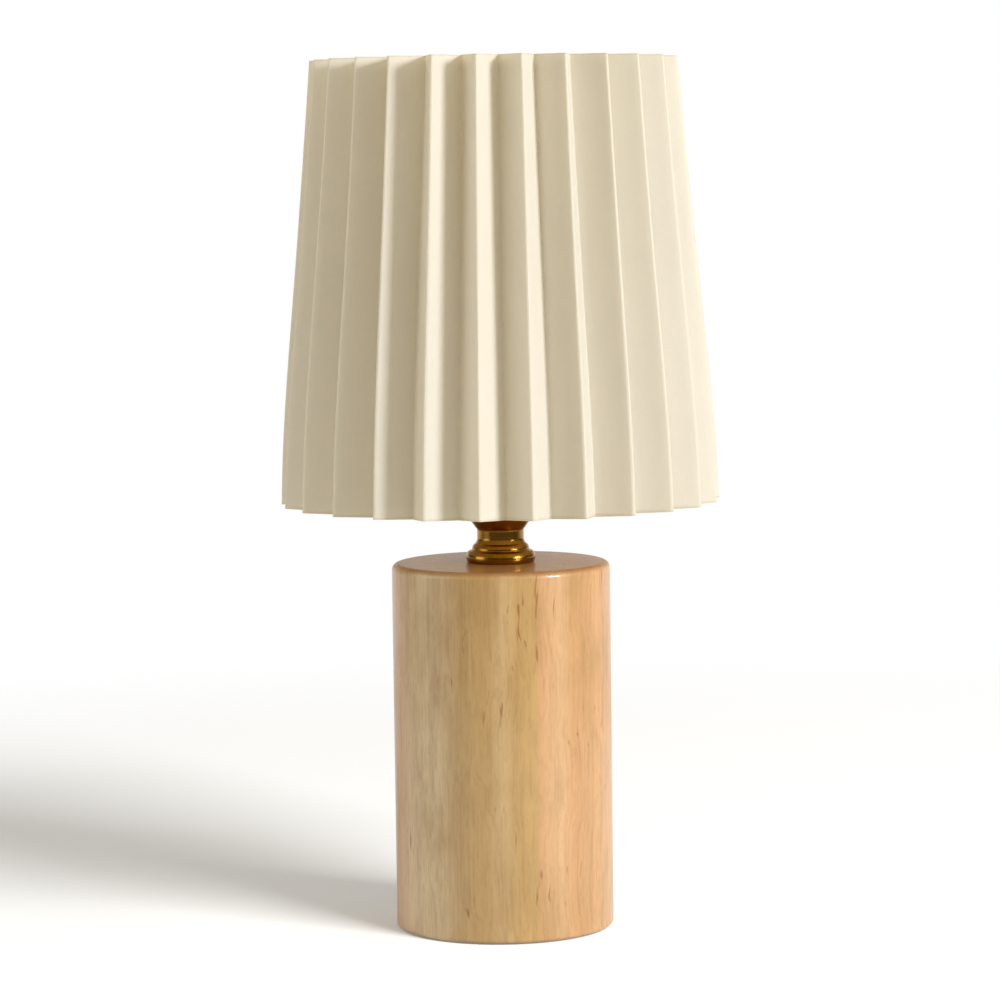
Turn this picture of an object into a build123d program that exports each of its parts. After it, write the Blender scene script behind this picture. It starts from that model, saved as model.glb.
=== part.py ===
"""Table lamp: a turned wooden column, a brass neck and lampholder, and an accordion-pleated
paper shade on a wire frame. All sizes are in millimetres, +Z is up, the table is Z = 0 and
the lamp's axis is the Z axis. The front faces -Y and the cord leaves at the back, +Y."""

from build123d import *
import os
from math import asin, cos, pi, radians, sin, sqrt, tan

# ---------------------------------------------------------------- driving dimensions
# Turned wooden column
base_diameter = 100.0
base_height = 167.5
base_top_round = 3.0
base_foot_round = 1.6
base_bore_clearance = 0.3
pocket_diameter = 40.0
pocket_depth = 28.0

# Felt pad glued in a shallow recess under the column
pad_diameter = 88.0
pad_thickness = 2.0
pad_recess = 1.5
pad_clearance = 0.2

# Cord bushing at the back, near the table
cord_height = 12.0
cord_bore = 6.6
bushing_wall = 1.2
bushing_barrel_length = 14.0
bushing_flange_diameter = 13.0
bushing_flange_thickness = 1.6
bushing_clearance = 0.1
bushing_flange_round = 0.6
spot_face_depth = 0.9

# Threaded lamp pipe and its fixings
pipe_diameter = 10.0
pipe_bore = 7.2
pipe_tail = 3.0
pipe_chamfer = 0.5
thread_clearance = 0.05
washer_diameter = 24.0
washer_thickness = 1.5
lock_washer_diameter = 17.0
lock_washer_thickness = 1.2
lock_washer_teeth = 12
lock_washer_notch_depth = 2.2
lock_washer_notch_width = 1.1
nut_across_flats = 14.0
nut_thickness = 4.0
nut_bevel = 0.8
nut_bevel_angle = 30.0

# Turned brass neck
neck_height = 16.0
neck_foot_radius = 15.9
neck_bead_radius = 13.1
neck_waist_radius = 10.7
neck_top_radius = 11.5

# Brass lampholder
cap_solid_height = 9.0
cap_flare_height = 11.5
cap_rim_height = 11.5
cap_wall = 0.9
cap_rim_bead = 0.6
cap_rim_bead_height = 1.6
cap_hub_wall = 2.5
pipe_engagement = 8.0
grub_screw_diameter = 3.0
grub_screw_length = 6.5
grub_screw_slot_depth = 1.3
grub_screw_slot_width = 0.6
shell_radius = 19.0
shell_wall = 0.8
shell_height = 43.0
shell_overlap = 4.0
shell_lip = 1.2
shell_thread_height = 0.6
shell_thread_pitch = 2.5
shell_thread_turns = 11
shell_thread_start = 7.0
ring_clearance = 0.4
insert_clearance = 0.3
insert_seat = 1.0
insert_height = 35.0
insert_floor = 6.0
insert_edge = 0.8
wire_hole_radius = 1.4
wire_hole_spread = 8.0
screw_shell_wall = 0.45
screw_shell_height = 25.0
screw_shell_rise = 0.8
screw_shell_lip = 0.2
contact_strip_width = 6.0
contact_strip_thickness = 0.4
contact_rise = 3.0
contact_foot = 5.0
contact_reach = 9.2
terminal_spread = 10.0
terminal_length = 6.0
terminal_width = 4.5
terminal_height = 5.0
terminal_hole_drop = 3.0
terminal_wire_hole_radius = 1.2
terminal_screw_diameter = 3.0
terminal_screw_head_radius = 2.25
terminal_screw_head_height = 1.4
terminal_screw_slot_depth = 0.5
terminal_screw_slot_width = 0.6

# Rings that carry the shade
seat_ring_radius = 23.0
seat_ring_thickness = 2.0
seat_height = 15.0
fitter_radius = 30.0
fitter_thickness = 1.2
clamp_ring_radius = 26.0
clamp_ring_height = 8.0
clamp_ring_grips = 24
clamp_ring_grip_radius = 1.1
clamp_ring_grip_offset = 0.4
clamp_ring_collar_wall = 2.6
clamp_ring_flange_height = 2.4
clamp_ring_edge = 0.5
seat_gap = 0.1

# Pleated paper shade
shade_height = 201.0
shade_gap = 28.0
shade_bottom_radius = 101.3
shade_top_radius = 84.6
pleat_count = 26
pleat_panel_width = 19.0
first_ridge_angle = -5.6
paper_thickness = 0.5

# Wire frame of the shade
wire_diameter = 2.6
ring_inset = 4.5
glue_gap = 0.15
weld_gap = 0.05
strut_count = 6
strut_first_angle = 30.0
arm_count = 3
arm_first_angle = 0.0
arm_bend_radius = 7.0
arm_fitter_overlap = 5.0
arm_flat_length = 9.0
arm_ring_run = 14.0

# Candle-shaped filament bulb with a screw cap
bulb_length = 98.0
bulb_radius = 17.5
bulb_belly_share = 0.4
bulb_shoulder_share = 0.82
bulb_shoulder_radius = 10.8
glass_wall = 0.8
glass_neck_radius = 11.6
glass_in_cap = 8.0
bulb_cap_length = 22.0
bulb_cap_radius = 13.2
bulb_cap_wall = 0.35
bulb_cap_thread_depth = 0.9
bulb_cap_thread_pitch = 3.629
bulb_cap_thread_turns = 4
bulb_cap_thread_start = 3.0
bulb_cap_foot_height = 2.0
bulb_cap_collar = 0.3
bulb_running_clearance = 0.25
tip_radius = 4.6
tip_height = 2.0
insulator_height = 3.0
insulator_radius = 10.4
stem_radius = 3.2
stem_post_radius = 1.45
stem_height = 20.0
stem_foot_height = 3.0
filament_count = 4
filament_radius = 1.0
filament_length = 30.0
filament_top_spread = 3.2
filament_foot_spread = 8.0
lead_radius = 0.35

# ---------------------------------------------------------------- levels and radii
wood_bottom = pad_thickness - pad_recess
wood_top = wood_bottom + base_height
pocket_floor = wood_bottom + pad_recess
pocket_ceiling = pocket_floor + pocket_depth
pipe_radius = pipe_diameter / 2
thread_radius = pipe_radius + thread_clearance
base_bore_radius = pipe_radius + base_bore_clearance

washer_low = pocket_ceiling - washer_thickness
lock_washer_low = washer_low - lock_washer_thickness
nut_low = lock_washer_low - nut_thickness
pipe_low = nut_low - pipe_tail

neck_low = wood_top
cap_low = neck_low + neck_height
pipe_high = cap_low + pipe_engagement
cap_cup_low = cap_low + cap_solid_height
cap_rim_low = cap_low + cap_flare_height
cap_high = cap_rim_low + cap_rim_height
cap_inner_radius = shell_radius + thread_clearance
cap_radius = cap_inner_radius + cap_wall

shell_low = cap_high - shell_overlap
shell_high = shell_low + shell_height
thread_crest_radius = shell_radius + shell_thread_height
ring_bore_radius = thread_crest_radius + ring_clearance

insert_low = shell_low + insert_seat
insert_high = insert_low + insert_height
insert_radius = shell_radius - shell_wall - insert_clearance
insert_floor_high = insert_low + insert_floor
screw_shell_inner = bulb_cap_radius + bulb_running_clearance
screw_shell_outer = screw_shell_inner + screw_shell_wall
screw_shell_low = insert_floor_high + screw_shell_rise
contact_high = insert_floor_high + contact_rise

seat_ring_low = shell_low + seat_height
fitter_low = seat_ring_low + seat_ring_thickness + seat_gap
fitter_high = fitter_low + fitter_thickness
clamp_ring_low = fitter_high + seat_gap

shade_low = wood_top + shade_gap
shade_high = shade_low + shade_height
wire_radius = wire_diameter / 2
bottom_ring_level = shade_low + ring_inset
top_ring_level = shade_high - ring_inset

bulb_low = contact_high + seat_gap
insulator_low = bulb_low + tip_height
bulb_cap_low = insulator_low + insulator_height
bulb_cap_high = bulb_cap_low + bulb_cap_length
glass_low = bulb_cap_high - glass_in_cap
bulb_high = bulb_low + bulb_length

# How far a cutting tool runs past what it cuts, and how a cylinder stands on its origin
cut_over = 1.0
on_end = (Align.CENTER, Align.CENTER, Align.MIN)


# ---------------------------------------------------------------- helpers
def turned(profile_points):
    """A solid of revolution about Z from a closed list of (radius, height) points."""
    outline = Polyline([(r, 0, z) for r, z in profile_points], close=True)
    return revolve(make_face(outline), Axis.Z)


def tube(outer, inner, low, high):
    """A plain tube on the lamp's axis."""
    return turned([(inner, low), (outer, low), (outer, high), (inner, high)])


def turned_edges(edges):
    """A solid of revolution about Z from edges that close in the XZ plane."""
    return revolve(make_face(edges), Axis.Z)


def point(r, z):
    """A point of a profile in the XZ plane."""
    return (r, 0, z)


def line(a, b):
    return Line(point(*a), point(*b))


def arc(a, via, b):
    return ThreePointArc(point(*a), point(*via), point(*b))


def around(piece, count, first_angle=0.0):
    """Copies of a piece at even steps about the lamp's axis."""
    step = 360 / count
    return [piece.rotate(Axis.Z, first_angle + step * i) for i in range(count)]


def thread_points(crest, root, low, pitch, turns):
    """The rounded crests of a thread as profile points, from low upwards."""
    points = []
    for turn in range(turns):
        start = low + pitch * turn
        points += [
            (root, start),
            ((root + crest) / 2, start + pitch * 0.17),
            (crest, start + pitch * 0.36),
            (crest, start + pitch * 0.64),
            ((root + crest) / 2, start + pitch * 0.83),
        ]
    points.append((root, low + pitch * turns))
    return points


# ---------------------------------------------------------------- wooden base
def make_base_body():
    column = Cylinder(
        base_diameter / 2, base_height, align=on_end
    ).translate((0, 0, wood_bottom))
    top_rim = column.edges().filter_by(GeomType.CIRCLE).sort_by(Axis.Z)[-1]
    column = fillet(top_rim, base_top_round)
    foot_rim = column.edges().filter_by(GeomType.CIRCLE).sort_by(Axis.Z)[0]
    column = fillet(foot_rim, base_foot_round)
    pad_seat = tube_plug(pad_diameter / 2 + pad_clearance, wood_bottom - cut_over, pocket_floor)
    pocket = tube_plug(pocket_diameter / 2, wood_bottom - cut_over, pocket_ceiling)
    bore = tube_plug(base_bore_radius, wood_bottom - cut_over, wood_top + cut_over)
    barrel_radius = cord_bore / 2 + bushing_wall + bushing_clearance
    cord_hole = back_cylinder(barrel_radius, 0, base_diameter)
    flange_seat = back_cylinder(
        bushing_flange_diameter / 2 + bushing_clearance, spot_face_level(), base_diameter
    )
    return column - pad_seat - pocket - bore - cord_hole - flange_seat


def tube_plug(radius, low, high):
    """A solid cylinder on the lamp's axis between two levels."""
    return Cylinder(
        radius, high - low, align=on_end
    ).translate((0, 0, low))


def back_cylinder(radius, y_from, y_to):
    """A solid cylinder along +Y at the cord's height."""
    axis = Plane(origin=(0, y_from, cord_height), z_dir=(0, 1, 0))
    return axis * Cylinder(
        radius, y_to - y_from, align=on_end
    )


def spot_face_level():
    """How far back the flat round the cord hole lies."""
    return base_diameter / 2 - spot_face_depth


def make_cord_bushing():
    seat = spot_face_level()
    barrel = back_cylinder(cord_bore / 2 + bushing_wall, seat - bushing_barrel_length, seat)
    flange = back_cylinder(bushing_flange_diameter / 2, seat, seat + bushing_flange_thickness)
    outer_rim = flange.edges().filter_by(GeomType.CIRCLE).sort_by(Axis.Y)[-1]
    flange = fillet(outer_rim, bushing_flange_round)
    bore = back_cylinder(cord_bore / 2, seat - bushing_barrel_length - cut_over, base_diameter)
    return barrel + flange - bore


def make_base_pad():
    return tube_plug(pad_diameter / 2, 0, pad_thickness)


# ---------------------------------------------------------------- pipe and fixings
def make_lamp_pipe():
    outer, inner = pipe_radius, pipe_bore / 2
    return turned([
        (inner, pipe_low),
        (outer - pipe_chamfer, pipe_low),
        (outer, pipe_low + pipe_chamfer),
        (outer, pipe_high - pipe_chamfer),
        (outer - pipe_chamfer, pipe_high),
        (inner, pipe_high),
    ])


def make_pipe_washer():
    return tube(washer_diameter / 2, base_bore_radius, washer_low, pocket_ceiling)


def make_lock_washer():
    """A toothed lock washer: a flat ring with notches all round."""
    ring = tube(lock_washer_diameter / 2, base_bore_radius, lock_washer_low, washer_low)
    notch = Box(
        lock_washer_notch_depth, lock_washer_notch_width, lock_washer_thickness * 3
    ).translate((lock_washer_diameter / 2, 0, lock_washer_low))
    return ring - around(notch, lock_washer_teeth)


def make_pipe_nut():
    corner_radius = nut_across_flats / 2 / cos(pi / 6)
    hexagon = extrude(RegularPolygon(corner_radius, 6), nut_thickness).translate((0, 0, nut_low))
    face_radius = corner_radius - nut_bevel / tan(radians(nut_bevel_angle))
    rounded = turned([
        (0, nut_low),
        (face_radius, nut_low),
        (corner_radius, nut_low + nut_bevel),
        (corner_radius, lock_washer_low - nut_bevel),
        (face_radius, lock_washer_low),
        (0, lock_washer_low),
    ])
    return (hexagon & rounded) - tube_plug(thread_radius, nut_low - cut_over, washer_low)


# ---------------------------------------------------------------- brass neck
def make_neck():
    """The turned neck: a drum foot, a soft bead, a straight waist and a small lip."""
    foot, bead = neck_foot_radius, neck_bead_radius
    waist, top = neck_waist_radius, neck_top_radius
    low, unit = neck_low, neck_height / 16.0

    def at(radius, share):
        return (radius, low + unit * share)

    outline = [
        line(at(thread_radius, 0), at(foot - 0.9, 0)),
        line(at(foot - 0.9, 0), at(foot - 0.4, 0.6)),
        arc(at(foot - 0.4, 0.6), at(foot, 2.6), at(foot - 0.5, 4.4)),
        arc(at(foot - 0.5, 4.4), at(foot - 0.95, 5.0), at(bead + 0.75, 5.4)),
        line(at(bead + 0.75, 5.4), at(bead + 0.1, 5.75)),
        line(at(bead + 0.1, 5.75), at(bead, 6.1)),
        arc(at(bead, 6.1), at(bead - 0.25, 7.3), at(bead - 1.1, 8.4)),
        line(at(bead - 1.1, 8.4), at(waist + 0.75, 8.75)),
        line(at(waist + 0.75, 8.75), at(waist + 0.6, 9.1)),
        arc(at(waist + 0.6, 9.1), at(waist + 0.1, 10.4), at(waist, 12.0)),
        line(at(waist, 12.0), at(waist, 14.2)),
        arc(at(waist, 14.2), at(waist + 0.2, 15.3), at(top, 16)),
        line(at(top, 16), at(thread_radius, 16)),
        line(at(thread_radius, 16), at(thread_radius, 0)),
    ]
    return turned_edges(outline)


# ---------------------------------------------------------------- brass lampholder
def make_holder_cap():
    flare_mid = (
        (neck_top_radius + cap_radius) / 2 + 0.4,
        cap_low + cap_flare_height * 0.56,
    )
    bead_low = cap_high - cap_rim_bead_height
    bead_mid = (cap_radius + cap_rim_bead, (bead_low + cap_high) / 2)
    cup_foot_radius = pipe_radius + cap_hub_wall
    outline = [
        line((thread_radius, cap_low), (neck_top_radius, cap_low)),
        arc((neck_top_radius, cap_low), flare_mid, (cap_radius, cap_rim_low)),
        line((cap_radius, cap_rim_low), (cap_radius, bead_low)),
        arc((cap_radius, bead_low), bead_mid, (cap_radius, cap_high)),
        line((cap_radius, cap_high), (cap_inner_radius, cap_high)),
        line((cap_inner_radius, cap_high), (cap_inner_radius, cap_rim_low + cap_wall)),
        line((cap_inner_radius, cap_rim_low + cap_wall), (cup_foot_radius, cap_cup_low)),
        line((cup_foot_radius, cap_cup_low), (thread_radius, cap_cup_low)),
        line((thread_radius, cap_cup_low), (thread_radius, cap_low)),
    ]
    cap = turned_edges(outline)
    return cap - grub_screw_cylinder(grub_screw_diameter / 2 + thread_clearance, cap_radius)


def grub_screw_level():
    return cap_low + cap_solid_height / 2


def grub_screw_cylinder(radius, length):
    axis = Plane(origin=(0, thread_radius, grub_screw_level()), z_dir=(0, 1, 0))
    return axis * Cylinder(radius, length, align=on_end)


def make_grub_screw():
    screw = grub_screw_cylinder(grub_screw_diameter / 2, grub_screw_length)
    slot = Box(
        grub_screw_diameter * 2, grub_screw_slot_depth * 2, grub_screw_slot_width
    ).translate((0, thread_radius + grub_screw_length, grub_screw_level()))
    return screw - slot


def make_holder_shell():
    """The outer shell, with a rolled thread for the two rings and a turned-in mouth."""
    inner = shell_radius - shell_wall
    thread_low = shell_low + shell_thread_start
    mouth = inner - shell_lip
    profile = [(inner, shell_low), (shell_radius, shell_low)]
    profile += thread_points(
        thread_crest_radius, shell_radius, thread_low, shell_thread_pitch, shell_thread_turns
    )
    profile += [
        (shell_radius, shell_high - shell_lip),
        (shell_radius - shell_lip * 0.3, shell_high - shell_lip * 0.3),
        (shell_radius - shell_lip, shell_high),
        (mouth, shell_high),
        (mouth, shell_high - shell_wall),
        (inner, shell_high - shell_wall * 2),
    ]
    return turned(profile)


def make_holder_insert():
    """The porcelain body: a cup for the screw shell, with two wire holes in its floor."""
    cup_radius = screw_shell_outer + insert_clearance
    body = turned([
        (0, insert_low),
        (insert_radius - insert_edge, insert_low),
        (insert_radius, insert_low + insert_edge),
        (insert_radius, insert_high - insert_edge),
        (insert_radius - insert_edge, insert_high),
        (cup_radius + insert_edge, insert_high),
        (cup_radius, insert_high - insert_edge),
        (cup_radius, insert_floor_high),
        (0, insert_floor_high),
    ])
    holes = []
    for side in (-1, 1):
        hole = tube_plug(wire_hole_radius, insert_low - cut_over, insert_floor_high + cut_over)
        holes.append(hole.translate((0, side * wire_hole_spread, 0)))
    return body - holes


def make_screw_shell():
    """The metal screw shell: a wavy liner with a rolled lip at the porcelain's mouth."""
    inner, wall = screw_shell_inner, screw_shell_wall
    high = screw_shell_low + screw_shell_height
    lip = screw_shell_outer + screw_shell_lip
    return turned([
        (inner, screw_shell_low),
        (inner + wall, screw_shell_low),
        (inner + wall, high - wall * 2),
        (lip, high - wall),
        (lip, high),
        (inner + wall * 0.5, high),
        (inner, high - wall),
    ])


def make_centre_contact():
    """The bronze leaf spring under the bulb: a foot on the porcelain and a raised tongue."""
    strip, base = contact_strip_thickness, insert_floor_high
    top = contact_high - strip
    lower = [
        (contact_reach, base),
        (contact_reach - contact_foot, base),
        (-tip_radius * 0.4, top),
        (-tip_radius * 1.1, top),
        (-tip_radius * 1.5, top - contact_rise * 0.4),
    ]
    upper = [(x, z + strip) for x, z in reversed(lower)]
    side = make_face(Polyline([(x, 0, z) for x, z in lower + upper], close=True))
    return extrude(side, contact_strip_width / 2, both=True)


def terminal_axis(side, start):
    """The line of a terminal's screw, outwards from a distance off the lamp's axis."""
    level = insert_low - seat_gap - terminal_hole_drop
    return Plane(origin=(side * start, 0, level), z_dir=(side, 0, 0))


def terminal_block(side):
    """One terminal block under the porcelain, with its wire hole and its screw hole."""
    high = insert_low - seat_gap
    block = Box(
        terminal_length,
        terminal_width,
        terminal_height,
        align=(Align.CENTER, Align.CENTER, Align.MAX),
    ).translate((side * terminal_spread, 0, high))
    wire_hole = Cylinder(
        terminal_wire_hole_radius, terminal_width * 2, rotation=(90, 0, 0)
    ).translate((side * terminal_spread, 0, high - terminal_hole_drop))
    screw_hole = terminal_axis(side, terminal_spread) * Cylinder(
        terminal_screw_diameter / 2 + thread_clearance, terminal_length, align=on_end
    )
    return block - wire_hole - screw_hole


def make_terminal_blocks():
    return [terminal_block(side) for side in (-1, 1)]


def terminal_screw(side):
    """A slotted screw that clamps the wire from the outer side of a block."""
    start = terminal_spread + terminal_wire_hole_radius
    head_start = terminal_spread + terminal_length / 2 + seat_gap
    shank = terminal_axis(side, start) * Cylinder(
        terminal_screw_diameter / 2, head_start - start, align=on_end
    )
    head = terminal_axis(side, head_start) * Cylinder(
        terminal_screw_head_radius, terminal_screw_head_height, align=on_end
    )
    slot = terminal_axis(side, head_start + terminal_screw_head_height) * Box(
        terminal_screw_slot_width, terminal_screw_head_radius * 3, terminal_screw_slot_depth * 2
    )
    return shank + head - slot


def make_terminal_screws():
    return [terminal_screw(side) for side in (-1, 1)]


# ---------------------------------------------------------------- rings for the shade
def make_seat_ring():
    ring = tube(seat_ring_radius, ring_bore_radius, seat_ring_low, seat_ring_low + seat_ring_thickness)
    rims = ring.edges().filter_by(GeomType.CIRCLE).group_by(SortBy.RADIUS)[-1]
    return fillet(rims, seat_ring_thickness * 0.3)


def make_shade_fitter():
    ring = tube(fitter_radius, ring_bore_radius + seat_gap, fitter_low, fitter_high)
    rims = ring.edges().filter_by(GeomType.CIRCLE).group_by(SortBy.RADIUS)[-1]
    return fillet(rims, fitter_thickness * 0.3)


def make_retaining_ring():
    """The ring that clamps the shade: an L-section with finger grips all round."""
    low, high, edge = clamp_ring_low, clamp_ring_low + clamp_ring_height, clamp_ring_edge
    flange_high = low + clamp_ring_flange_height
    collar = ring_bore_radius + clamp_ring_collar_wall
    ring = turned([
        (ring_bore_radius, low),
        (clamp_ring_radius - edge, low),
        (clamp_ring_radius, low + edge),
        (clamp_ring_radius, flange_high - edge),
        (clamp_ring_radius - edge, flange_high),
        (collar + edge, flange_high),
        (collar, flange_high + edge),
        (collar, high - edge),
        (collar - edge, high),
        (ring_bore_radius + edge, high),
        (ring_bore_radius, high - edge),
    ])
    grip = tube_plug(clamp_ring_grip_radius, low - cut_over, high + cut_over)
    grip = grip.translate((clamp_ring_radius + clamp_ring_grip_offset, 0, 0))
    return ring - around(grip, clamp_ring_grips)


# ---------------------------------------------------------------- pleated shade
def ridge_radius(level):
    """The radius of the outer folds at a level."""
    share = (level - shade_low) / shade_height
    return shade_bottom_radius + (shade_top_radius - shade_bottom_radius) * share


def valley_radius(level):
    """The radius of the inner folds at a level, where every panel is as wide as the next."""
    half_step = pi / pleat_count
    across = ridge_radius(level) * sin(half_step)
    return ridge_radius(level) * cos(half_step) - sqrt(pleat_panel_width**2 - across**2)


def fold_mitres(level):
    """How far the paper's inner face lies inside its outer face, at a ridge and at a valley."""
    half_step = pi / pleat_count
    across = valley_radius(level) * sin(half_step)
    ridge_half_angle = asin(across / pleat_panel_width)
    valley_half_angle = ridge_half_angle + half_step
    return paper_thickness / sin(ridge_half_angle), paper_thickness / sin(valley_half_angle)


def pleat_outline(level, inner_face=False):
    """The zigzag of ridges and valleys at a level, as a closed face."""
    ridge_mitre, valley_mitre = fold_mitres(level) if inner_face else (0.0, 0.0)
    corners = []
    for fold in range(2 * pleat_count):
        angle = radians(first_ridge_angle - 90 + fold * 180 / pleat_count)
        if fold % 2 == 0:
            radius = ridge_radius(level) - ridge_mitre
        else:
            radius = valley_radius(level) - valley_mitre
        corners.append((radius * cos(angle), radius * sin(angle), level))
    return make_face(Polyline(corners, close=True))


def make_pleated_cover():
    over = paper_thickness
    outside = loft([pleat_outline(shade_low), pleat_outline(shade_high)], ruled=True)
    inside = loft(
        [
            pleat_outline(shade_low - over, inner_face=True),
            pleat_outline(shade_high + over, inner_face=True),
        ],
        ruled=True,
    )
    return outside - inside


# ---------------------------------------------------------------- wire frame
def frame_radius(level):
    """The wire's centre radius where a ring lies against the paper's inner folds."""
    valley_slope = (valley_radius(shade_low) - valley_radius(shade_high)) / shade_height
    inner_fold = valley_radius(level) - fold_mitres(level)[1]
    return inner_fold - wire_radius * (1 + valley_slope) - glue_gap


def make_frame_ring(level):
    return Torus(frame_radius(level), wire_radius).translate((0, 0, level))


def make_shade_struts():
    """Straight wires inside both rings, spot-welded to them."""
    inset = wire_diameter + weld_gap
    foot = Vector(frame_radius(bottom_ring_level) - inset, 0, bottom_ring_level)
    head = Vector(frame_radius(top_ring_level) - inset, 0, top_ring_level)
    along = (head - foot).normalized()
    start = foot - along * wire_radius
    length = (head - foot).length + wire_diameter
    strut = Plane(origin=start, z_dir=along) * Cylinder(
        wire_radius, length, align=on_end
    )
    return around(strut, strut_count, strut_first_angle)


def make_spider_arms():
    """Bent wires that run from under the fitter down and out to the bottom ring."""
    fitter_level = fitter_low - wire_radius - weld_gap
    start = fitter_radius - arm_fitter_overlap
    ring_inner = frame_radius(bottom_ring_level) - wire_radius - weld_gap
    path = FilletPolyline(
        (start, 0, fitter_level),
        (fitter_radius + arm_flat_length, 0, fitter_level),
        (ring_inner - arm_ring_run, 0, bottom_ring_level),
        (ring_inner, 0, bottom_ring_level),
        radius=arm_bend_radius,
    )
    section = Plane(origin=(start, 0, fitter_level), z_dir=(1, 0, 0)) * Circle(wire_radius)
    arm = sweep(section, path)
    return around(arm, arm_count, arm_first_angle)


# ---------------------------------------------------------------- bulb
def make_bulb_contact():
    """The soldered centre contact of the bulb's cap."""
    low, high = bulb_low, insulator_low
    return turned_edges([
        line((0, low), (tip_radius * 0.5, low)),
        arc((tip_radius * 0.5, low), (tip_radius * 0.88, low + tip_height * 0.3), (tip_radius, high)),
        line((tip_radius, high), (0, high)),
        line((0, high), (0, low)),
    ])


def make_bulb_insulator():
    low, high = insulator_low + seat_gap, bulb_cap_low - seat_gap
    return turned([(0, low), (tip_radius + 0.6, low), (insulator_radius, high), (0, high)])


def make_bulb_cap():
    """The thin screw cap, with its rounded thread and a flared collar."""
    root = bulb_cap_radius - bulb_cap_thread_depth
    thread_low = bulb_cap_low + bulb_cap_thread_start
    outer = [(insulator_radius, bulb_cap_low), (root, bulb_cap_low + bulb_cap_foot_height)]
    outer += thread_points(
        bulb_cap_radius, root, thread_low, bulb_cap_thread_pitch, bulb_cap_thread_turns
    )
    outer += [(root, bulb_cap_high - bulb_cap_foot_height), (root + bulb_cap_collar, bulb_cap_high)]
    inner = [(r - bulb_cap_wall, z) for r, z in reversed(outer)]
    return turned(outer + inner)


def candle_outline(inset):
    """The candle's outside from its neck to its tip, as edges, set in by a wall."""
    candle_height = bulb_high - bulb_cap_high
    neck = (glass_neck_radius - inset, glass_low)
    throat = (glass_neck_radius - inset, bulb_cap_high)
    belly = (bulb_radius - inset, bulb_cap_high + candle_height * bulb_belly_share)
    shoulder = (
        bulb_shoulder_radius - inset * 0.8,
        bulb_cap_high + candle_height * bulb_shoulder_share,
    )
    tip = (0, bulb_high - inset)
    up, flat = (0, 0, 1), (-1, 0, 0)
    return [
        line(neck, throat),
        Spline(point(*throat), point(*belly), tangents=(up, up)),
        Spline(point(*belly), point(*shoulder), point(*tip), tangents=(up, flat)),
    ]


def make_bulb_glass():
    outside = candle_outline(0.0)
    closing = [
        line((0, bulb_high), (0, glass_low)),
        line((0, glass_low), (glass_neck_radius, glass_low)),
    ]
    envelope = turned_edges(outside + closing)
    hollow = turned_edges(
        candle_outline(glass_wall)
        + [
            line((0, bulb_high - glass_wall), (0, glass_low)),
            line((0, glass_low), (glass_neck_radius - glass_wall, glass_low)),
        ]
    )
    return envelope - hollow


def make_bulb_stem():
    """The glass foot and post that carry the filaments."""
    foot_radius = glass_neck_radius - glass_wall - seat_gap
    post, top = stem_post_radius, bulb_cap_high + stem_height
    foot_high = glass_low + stem_foot_height
    return turned([
        (0, glass_low),
        (foot_radius, glass_low),
        (foot_radius, glass_low + 1.0),
        (stem_radius, foot_high),
        (stem_radius, bulb_cap_high + stem_height * 0.25),
        (post, bulb_cap_high + stem_height * 0.4),
        (post, top),
        (0, top),
    ])


def filament_lean():
    """How far the filaments lean in, in radians."""
    return asin((filament_foot_spread - filament_top_spread) / filament_length)


def filament_ends():
    """The foot and head of one filament, both on the +X side."""
    foot = Vector(filament_foot_spread, 0, bulb_cap_high + stem_height * 0.6)
    rise = filament_length * cos(filament_lean())
    return foot, Vector(filament_top_spread, 0, foot.Z + rise)


def make_bulb_filaments():
    foot, head = filament_ends()
    along = (head - foot).normalized()
    rod = Plane(origin=foot, z_dir=along) * Cylinder(
        filament_radius, filament_length, align=on_end
    )
    return around(rod, filament_count, 45.0)


def make_bulb_leads():
    """Fine wires: one spoke to each filament's foot, and a crown that joins their heads."""
    foot, head = filament_ends()
    start = stem_post_radius + weld_gap
    end_tilt = filament_radius * sin(filament_lean())
    spoke_level = foot.Z - end_tilt - lead_radius - weld_gap
    spoke = Plane(origin=(start, 0, spoke_level), z_dir=(1, 0, 0)) * Cylinder(
        lead_radius, foot.X - start, align=on_end
    )
    crown_level = head.Z + end_tilt + lead_radius + weld_gap
    crown = Torus(head.X, lead_radius).translate((0, 0, crown_level))
    return around(spoke, filament_count, 45.0) + [crown]


# ---------------------------------------------------------------- the lamp
pieces = {
    "base_body": make_base_body(),
    "base_pad": make_base_pad(),
    "cord_bushing": make_cord_bushing(),
    "lamp_pipe": make_lamp_pipe(),
    "pipe_washer": make_pipe_washer(),
    "lock_washer": make_lock_washer(),
    "pipe_nut": make_pipe_nut(),
    "neck": make_neck(),
    "holder_cap": make_holder_cap(),
    "holder_grub_screw": make_grub_screw(),
    "holder_shell": make_holder_shell(),
    "holder_insert": make_holder_insert(),
    "screw_shell": make_screw_shell(),
    "centre_contact": make_centre_contact(),
    "terminal_blocks": make_terminal_blocks(),
    "terminal_screws": make_terminal_screws(),
    "seat_ring": make_seat_ring(),
    "shade_fitter": make_shade_fitter(),
    "retaining_ring": make_retaining_ring(),
    "pleated_cover": make_pleated_cover(),
    "bottom_ring": make_frame_ring(bottom_ring_level),
    "top_ring": make_frame_ring(top_ring_level),
    "shade_struts": make_shade_struts(),
    "spider_arms": make_spider_arms(),
    "bulb_contact": make_bulb_contact(),
    "bulb_insulator": make_bulb_insulator(),
    "bulb_cap": make_bulb_cap(),
    "bulb_glass": make_bulb_glass(),
    "bulb_stem": make_bulb_stem(),
    "bulb_filaments": make_bulb_filaments(),
    "bulb_leads": make_bulb_leads(),
}

os.makedirs("parts", exist_ok=True)
for name, shape in pieces.items():
    solids = Compound(children=list(shape)) if isinstance(shape, list) else shape
    export_step(solids, f"parts/{name}.step")
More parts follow.
